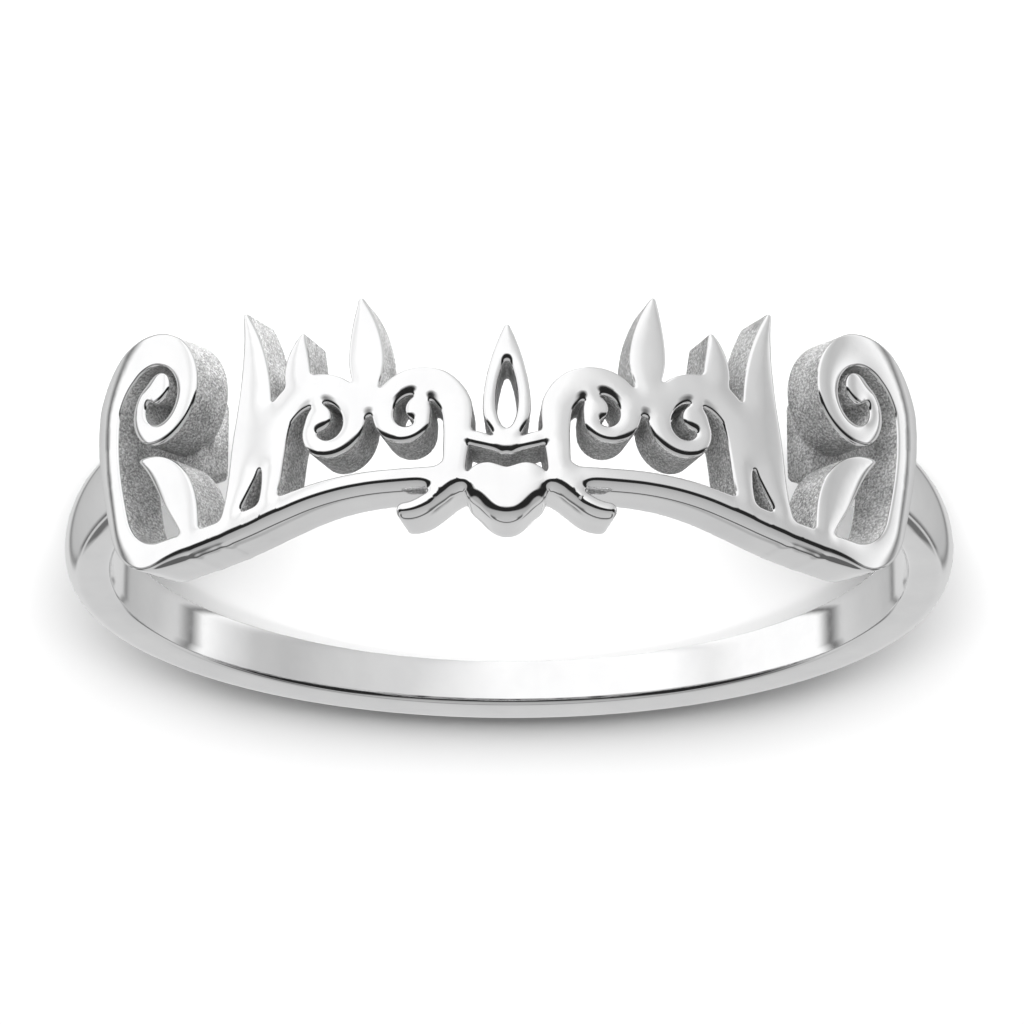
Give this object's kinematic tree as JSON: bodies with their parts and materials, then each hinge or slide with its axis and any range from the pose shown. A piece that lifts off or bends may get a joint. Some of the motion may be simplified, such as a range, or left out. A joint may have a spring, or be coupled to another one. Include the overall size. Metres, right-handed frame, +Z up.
{
  "type": "name ring",
  "caption": "Slim half-round finger ring whose pierced head carries scrolls and leaves in the place of a name, over an underline rail with a small heart and ribbon ends.",
  "frame": {"origin": "centre of the bounding box at the surface the ring lies on", "axes": "+Z up from that surface; -Y out through the heart of the head; +X across the finger; the finger's axis is close to -Z, leaning 6.1 degrees"},
  "size_m": [0.0194, 0.0204, 0.0058],
  "materials": {
    "silver": "mirror-polished faces and band, frosted walls between the scrolls"
  },
  "bodies": {
    "root": {"ring": "silver"}
  },
  "joints": []
}
